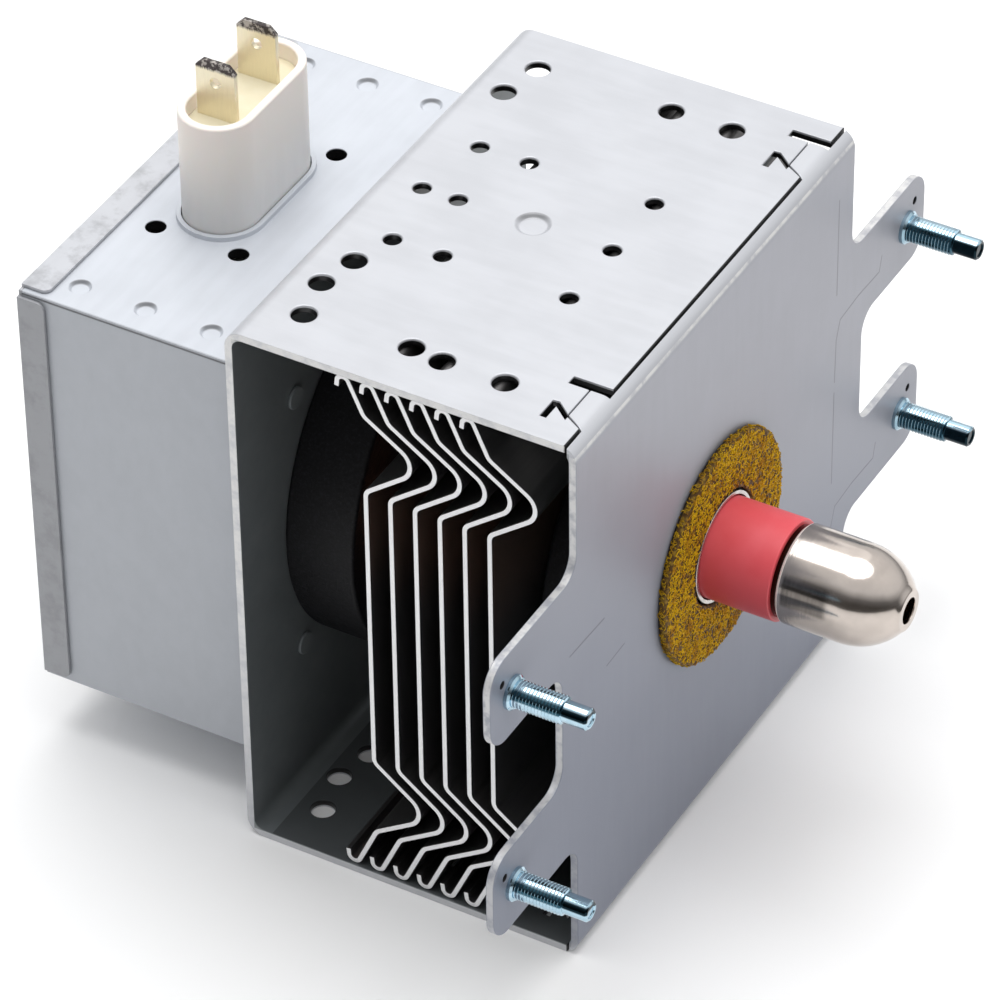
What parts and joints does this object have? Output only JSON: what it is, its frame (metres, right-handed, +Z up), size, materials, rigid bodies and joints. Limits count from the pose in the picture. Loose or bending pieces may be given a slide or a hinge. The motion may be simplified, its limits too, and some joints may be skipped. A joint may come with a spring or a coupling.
{
  "type": "microwave magnetron",
  "caption": "Microwave magnetron: steel yoke round ring magnets and folded cooling fins, capped ceramic antenna with mesh gasket, eared plate with studs, filter box with blade terminals.",
  "frame": {"origin": "on the antenna's axis at the outer face of the front plate", "axes": "+X out along the antenna, +Y across the yoke along the cooling air's way, +Z up towards the terminals"},
  "size_m": [0.1197, 0.1264, 0.1045],
  "materials": {
    "yoke_steel": "galvanised sheet, satin",
    "plate_steel": "galvanised sheet, satin",
    "stud_zinc": "bright zinc plate",
    "ferrite": "sintered, matt black",
    "fin_aluminium": "rolled sheet with bright cut edges",
    "copper": "oxidised copper",
    "iron": "plain",
    "seal_metal": "drawn sheet",
    "pink_ceramic": "fired alumina, satin",
    "cap_stainless": "polished",
    "gasket_mesh": "knitted wire",
    "tungsten": "drawn wire and rod",
    "box_steel": "galvanised sheet, satin",
    "cream_plastic": "moulded",
    "potting": "cast resin",
    "tab_tin": "tin plate",
    "white_ceramic": "fired ceramic",
    "enamel_wire": "enamelled copper wire"
  },
  "bodies": {
    "root": {"rear_yoke": "yoke_steel", "front_plate": "plate_steel", "mounting_studs": "stud_zinc", "front_magnet": "ferrite", "rear_magnet": "ferrite", "fin_1": "fin_aluminium", "fin_2": "fin_aluminium", "fin_3": "fin_aluminium", "fin_4": "fin_aluminium", "fin_5": "fin_aluminium", "fin_6": "fin_aluminium", "anode_shell": "copper", "anode_vanes": "copper", "strap_rings": "copper", "output_pole_piece": "iron", "input_pole_piece": "iron", "output_seal_cup": "seal_metal", "input_seal_cup": "seal_metal", "antenna_ceramic": "pink_ceramic", "antenna_cap": "cap_stainless", "exhaust_tube": "copper", "antenna_lead": "copper", "rf_gasket": "gasket_mesh", "stem_ceramic": "pink_ceramic", "centre_lead": "tungsten", "side_lead": "tungsten", "front_end_hat": "tungsten", "rear_end_hat": "tungsten", "filament": "tungsten", "filter_box": "box_steel", "filter_lid": "box_steel", "box_rivets": "box_steel", "connector_body": "cream_plastic", "connector_potting": "potting", "terminal_tab_near": "tab_tin", "terminal_tab_far": "tab_tin", "ground_plate": "box_steel", "capacitor_ceramic": "white_ceramic", "choke_coil_near": "enamel_wire", "choke_coil_far": "enamel_wire", "choke_core_near": "ferrite", "choke_core_far": "ferrite", "lead_strip_near": "tab_tin", "lead_strip_far": "tab_tin"}
  },
  "joints": []
}
